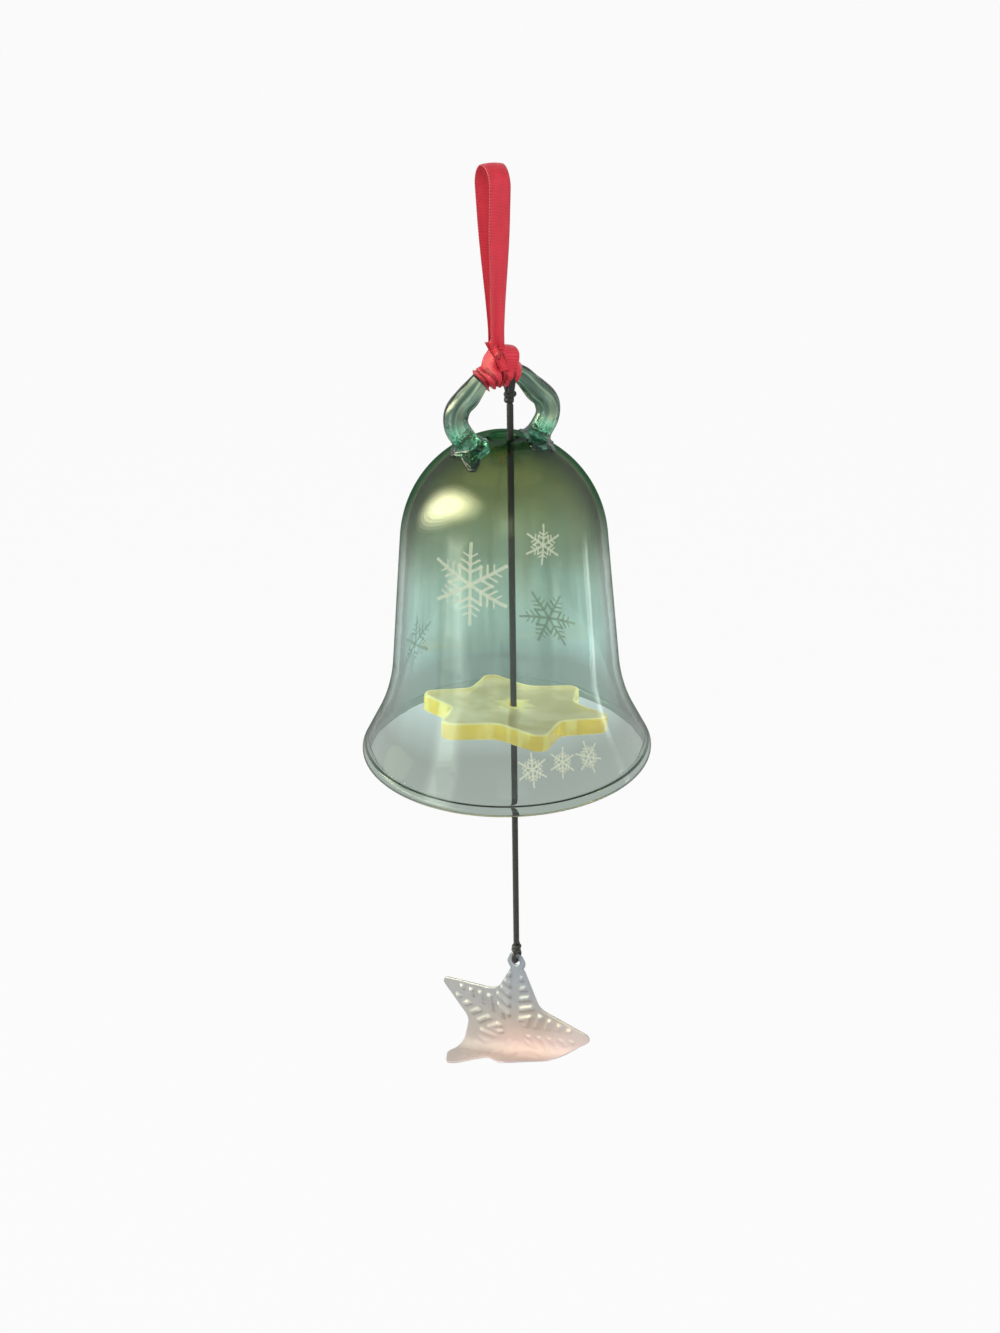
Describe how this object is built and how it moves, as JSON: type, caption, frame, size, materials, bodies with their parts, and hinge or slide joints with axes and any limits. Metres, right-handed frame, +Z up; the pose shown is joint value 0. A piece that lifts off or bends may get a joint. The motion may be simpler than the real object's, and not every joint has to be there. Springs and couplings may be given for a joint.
{
  "type": "glass bell wind chime",
  "caption": "Glass bell wind chime on a ribbon loop, with a rod loop on its crown, a star clapper on a cord inside it and a bent metal star sail below.",
  "frame": {"origin": "where the hook carries the ribbon, inside the top of the ribbon loop", "axes": "+Z up along the hanging line, +X along the plane of the glass loop"},
  "size_m": [0.076, 0.076, 0.2543],
  "materials": {
    "ribbon": "red satin with a woven edge",
    "bell_glass": "clear green glass with frosted snow crystals",
    "loop_glass": "clear emerald glass",
    "cord": "black braided cord",
    "star_glass": "clear amber, polished edges",
    "sail_metal": "thin embossed sheet"
  },
  "bodies": {
    "hanger": {"ribbon_loop": "ribbon"},
    "neck": {"ribbon_neck": "ribbon"},
    "bell": {"ribbon_hitch": "ribbon", "glass_loop": "loop_glass", "glass_bell": "bell_glass", "cord_noose": "cord"},
    "top_tie": {"cord_top_knot": "cord"},
    "clapper_line": {"cord_upper": "cord"},
    "star_seat": {"stopper_knot": "cord"},
    "star": {"star_clapper": "star_glass"},
    "tail": {"cord_lower": "cord"},
    "sail_tie": {"sail_knot": "cord"},
    "sail": {"wind_sail": "sail_metal"}
  },
  "joints": [
    {"name": "bell_turn", "type": "hinge", "parent": "hanger", "child": "neck", "pos_m": [0, 0, -0.037], "axis": [0, 0, 1], "range_deg": [-90, 90]},
    {"name": "bell_swing", "type": "hinge", "parent": "neck", "child": "bell", "pos_m": [0, 0, -0.0405], "axis": [1, 0, 0], "range_deg": [-20, 20]},
    {"name": "clapper_turn", "type": "hinge", "parent": "bell", "child": "top_tie", "pos_m": [0.002, 0, -0.0537], "axis": [0, 0, 1], "range_deg": [-180, 180]},
    {"name": "clapper_swing", "type": "hinge", "parent": "top_tie", "child": "clapper_line", "pos_m": [0.002, 0, -0.0537], "axis": [1, 0, 0], "range_deg": [-2.2, 2.2]},
    {"name": "star_turn", "type": "hinge", "parent": "clapper_line", "child": "star_seat", "pos_m": [0.002, 0, -0.1373], "axis": [0, 0, 1], "range_deg": [-180, 180]},
    {"name": "star_tilt", "type": "hinge", "parent": "star_seat", "child": "star", "pos_m": [0.002, 0, -0.1373], "axis": [1, 0, 0], "range_deg": [-4, 4]},
    {"name": "tail_swing", "type": "hinge", "parent": "star_seat", "child": "tail", "pos_m": [0.002, 0, -0.14195], "axis": [1, 0, 0], "range_deg": [-25, 25]},
    {"name": "sail_turn", "type": "hinge", "parent": "tail", "child": "sail_tie", "pos_m": [0.002, 0, -0.21265], "axis": [0, 0, 1], "range_deg": [-180, 180]},
    {"name": "sail_rock", "type": "hinge", "parent": "sail_tie", "child": "sail", "pos_m": [0.002, 0, -0.2155], "axis": [0.5948, -0.8039, 0], "range_deg": [-25, 25]}
  ]
}
